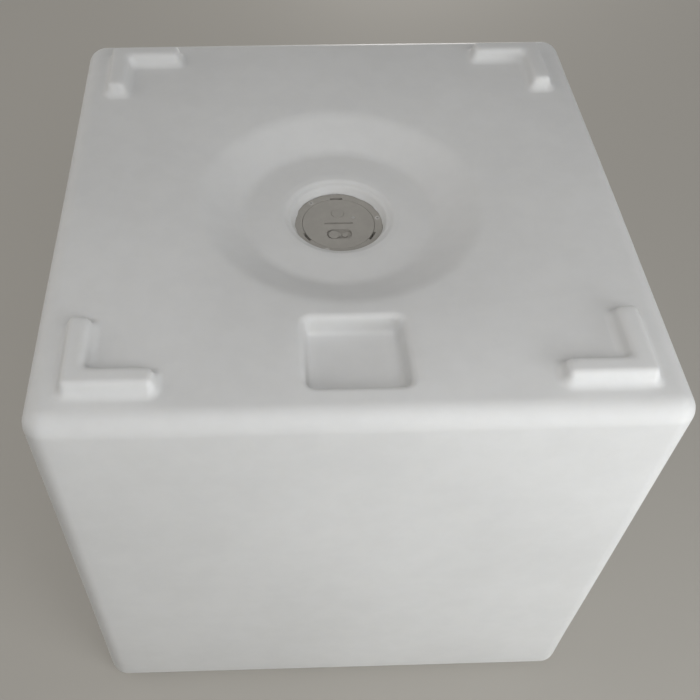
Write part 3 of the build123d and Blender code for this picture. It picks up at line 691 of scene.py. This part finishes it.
# %% Build both skins of the body
def skin_rings(skin, lip_steps, dish, morph, flat, edge_steps, side_steps, under):
    """Points of one skin, a row for each ring, from the neck's ledge to the table top.

    Dish and flat hold the radius or half width of each ring, and morph holds both the half width
    and the share of circle in the rings between them. Under holds the size of each ring of the
    table top, as a share of its outermost. The film's rings take the place of one lip ring.
    """
    radius, neck_z = neck_profile(skin, lip_steps)
    if skin == 0:
        film_z = MOUTH_Z + RAG_HEIGHTS
        film = np.interp(film_z, neck_z[MOUTH_ROW:], radius[MOUTH_ROW:])
        before, after = slice(0, MOUTH_ROW + 1), slice(MOUTH_ROW + 2, None)
        radius = np.concatenate([radius[before], film, radius[after]])
        neck_z = np.concatenate([neck_z[before], film_z, neck_z[after]])
    neck = whole(*circles(radius))
    neck = ragged(*neck, neck_z) if skin == 0 else neck
    bowl = whole(*circles(dish))
    half, share = morph
    round_x, round_y = circles(half)
    square_x, square_y = squares(half, FOOT_CORNER + 0 * half)
    part = share[:, None]
    between = whole(square_x + (round_x - square_x) * part, square_y + (round_y - square_y) * part)
    tight = np.interp(flat, [FOOT_RING + FOOT_WIDTH, PLANE_END], [FOOT_CORNER, CORNER - EDGE])
    field = whole(*squares(flat, tight))
    turn = np.linspace(0, np.pi / 2, edge_steps)
    bend = EDGE - skin
    drop = np.linspace(UNDERSIDE_Z - EDGE, EDGE, side_steps)[1:-1]
    out = np.concatenate([np.sin(turn), 1 + 0 * drop, np.cos(turn)]) * bend
    z = np.concatenate([UNDERSIDE_Z - EDGE + bend * np.cos(turn), drop, EDGE - bend * np.sin(turn)])
    sides = whole(*squares(PLANE_END + out, CORNER - EDGE + out))
    base_x, base_y = sides[0][-1], sides[1][-1]
    top = (under[:, None] * base_x, under[:, None] * base_y)
    rows = [
        (*neck, neck_z[:, None] + 0 * neck[0]),
        (*bowl, underside(*bowl, skin)),
        (*between, underside(*between, skin)),
        (*field, underside(*field, skin)),
        (*sides, z[:, None] + 0 * sides[0]),
        (*top, skin + 0 * top[0]),
    ]
    return np.stack([np.vstack([row[axis] for row in rows]) for axis in range(3)], axis=-1)


LAST_FLAT_RING = PLANE_END - 0.0015
OUTER_FLAT_STOPS = [0.167, 0.180, 0.234, 0.246, 0.251, 0.2725, LAST_FLAT_RING]
outer = skin_rings(
    skin=0.0,
    lip_steps=18,
    dish=spread([0.0695, 0.092, 0.122, 0.140, 0.157], [4, 12, 4, 9]),
    morph=(np.array([0.1595, 0.162, 0.1645]), np.array([0.8, 0.5, 0.2])),
    flat=spread(OUTER_FLAT_STOPS, [14, 6, 12, 2, 21, 3]),
    edge_steps=13,
    side_steps=10,
    under=np.array([0.97, 0.85, 0.65, 0.4, 0.15]),
)
inner = skin_rings(
    skin=WALL,
    lip_steps=5,
    dish=spread([0.071, 0.098, 0.125, 0.140, 0.156], [3, 4, 2, 3]),
    morph=(np.array([0.160]), np.array([0.5])),
    flat=spread([0.164, 0.176, 0.236, 0.256, 0.262, 0.272], [5, 3, 5, 2, 3]),
    edge_steps=5,
    side_steps=4,
    under=np.array([0.9, 0.4]),
)
print("rings:", len(outer), "outside and", len(inner), "inside, of", outer.shape[1], "points")

# %% [markdown]
# ## A wall that isn't quite flat
# As the wall cools it draws in here and there, by under a millimetre over a hand or two. That
# is what makes soft patches of light on a real moulded cube, and a bump map can't do it, because
# the outline stays straight. Three slow waves across the body move each point inwards along
# its normal. The neck, where the ring fits, and the foot of the sides are left true.

# %% Slow waves in the outer skin
SAG = 0.0009
TRUE_BELOW_Z = 0.03
FREE_ABOVE_Z = 0.09
WAVES = [((7.1, 9.7, 5.3), 0.4), ((-12.9, 6.1, 11.7), 1.9), ((4.3, -15.1, -8.9), 2.7)]


def normals_of(points):
    """Unit normals of a grid: the cross product of its steps along and across the rings."""
    across = np.gradient(points, axis=0)
    along = np.roll(points, -1, axis=1) - np.roll(points, 1, axis=1)
    normal = np.cross(along, -across)
    return normal / np.linalg.norm(normal, axis=-1, keepdims=True)


def ease(value, low, high):
    """0 below low, 1 above high, and a smooth S between them."""
    share = np.clip((value - low) / (high - low), 0, 1)
    return share * share * (3 - 2 * share)


def sag(points):
    """Depth of the draw-in at each point: the sum of the waves, stretched over 0 to SAG."""
    wave = sum(np.sin(points @ np.array(way) + shift) for way, shift in WAVES) / len(WAVES)
    reach = np.hypot(points[..., 0], points[..., 1])
    past_neck = ease(reach, NECK_RADIUS + LIP_REACH, DISH_FLOOR_RADIUS)
    return SAG * (0.5 + 0.5 * wave) * past_neck * ease(points[..., 2], TRUE_BELOW_Z, FREE_ABOVE_Z)


outer = outer - normals_of(outer) * sag(outer)[..., None]
print("deepest draw-in in mm:", round(float(sag(outer).max()) * 1000, 2))

# %% [markdown]
# ## Closing the grid
# The outer rings are taken from the table top up to the neck and the inner ones back down, so
# that one grid covers both skins. Each end of it closes on a single point, and the last point of
# a ring joins its first, which leaves no seam.

# %% Make the mesh
def closed_mesh(name, rings, first_pole, last_pole):
    """Mesh of quads between rings of equal count, closed by a fan of triangles at both ends."""
    rows, count = rings.shape[:2]
    vertices = np.vstack([rings.reshape(-1, 3), first_pole, last_pole])
    index = np.arange(rows * count).reshape(rows, count)
    after = np.roll(index, -1, axis=1)
    quads = np.stack([index[:-1], after[:-1], after[1:], index[1:]], axis=-1).reshape(-1, 4)
    first, last = rows * count, rows * count + 1
    start = np.stack([np.full(count, first), after[0], index[0]], axis=-1)
    finish = np.stack([np.full(count, last), index[-1], after[-1]], axis=-1)
    mesh = bpy.data.meshes.new(name)
    mesh.from_pydata(vertices.tolist(), [], quads.tolist() + start.tolist() + finish.tolist())
    mesh.polygons.foreach_set("use_smooth", np.ones(len(mesh.polygons), bool))
    mesh.update()
    return mesh


def piece(name, mesh, body, slot, *stands_for):
    """Puts a mesh in the scene as a piece that rides on a body and takes a slot's finish.

    The solids that it stands for are named, so that they aren't shown as well.
    """
    made = bpy.data.objects.new(name, mesh)
    bpy.context.scene.collection.objects.link(made)
    mesh.materials.clear()
    mesh.materials.append(finishes[slot])
    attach(made, body)
    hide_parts(*stands_for)


rings = np.concatenate([outer[::-1], inner])
body_mesh = closed_mesh("moulded_body", rings, (0, 0, 0), (0, 0, WALL))
piece("moulded_body", body_mesh, "table", "milky_polyethylene", "shell")
body_mesh.calc_loop_triangles()
print("triangles in the body:", len(body_mesh.loop_triangles))

# %% [markdown]
# ## The floor
# The floor catches the shadow and throws a little light back. It is one plain sheet of 24 m.
# The lamps stand near, so the floor would fade to black behind the table. Half of what the
# camera sees of it is therefore an even glow in a darker tone of the floor, which lights nothing.

# %% Floor
FLOOR_HALF = 12.0
FLOOR_TONE = (0.50, 0.48, 0.44, 1.0)
FLOOR_GLOW = (0.29, 0.275, 0.25, 1.0)
GLOW_SHARE = 0.5
floor_mesh = bpy.data.meshes.new("floor")
side = FLOOR_HALF
floor_mesh.from_pydata(
    [(-side, -side, 0), (side, -side, 0), (side, side, 0), (-side, side, 0)], [], [(0, 1, 2, 3)]
)
floor = bpy.data.objects.new("floor", floor_mesh)
bpy.context.scene.collection.objects.link(floor)
ground = Finish("pale_floor")
speckle = ground.ramp(ground.noise(2.0, 3.0), 0.3, 0.7)
ground.set(Base_Color=ground.mix(speckle, shade(FLOOR_TONE, 0.985), shade(FLOOR_TONE, 1.01)))
ground.set(Roughness=0.75)
rays = ground.node("ShaderNodeLightPath")
seen = Field(ground, rays.outputs["Is Camera Ray"]) + Field(ground, rays.outputs["Is Glossy Ray"])
seen = seen + Field(ground, rays.outputs["Is Transmission Ray"])
glow = ground.node("ShaderNodeEmission", None, {"Color": FLOOR_GLOW})
shaders = {"Fac": seen * GLOW_SHARE, 1: ground.shader.outputs[0], 2: glow.outputs[0]}
blended = ground.node("ShaderNodeMixShader", None, shaders)
ground.feed(ground.tree.nodes["Material Output"].inputs["Surface"], blended.outputs[0])
floor_mesh.materials.append(ground.material)
print("floor, from edge to edge in m:", 2 * FLOOR_HALF)
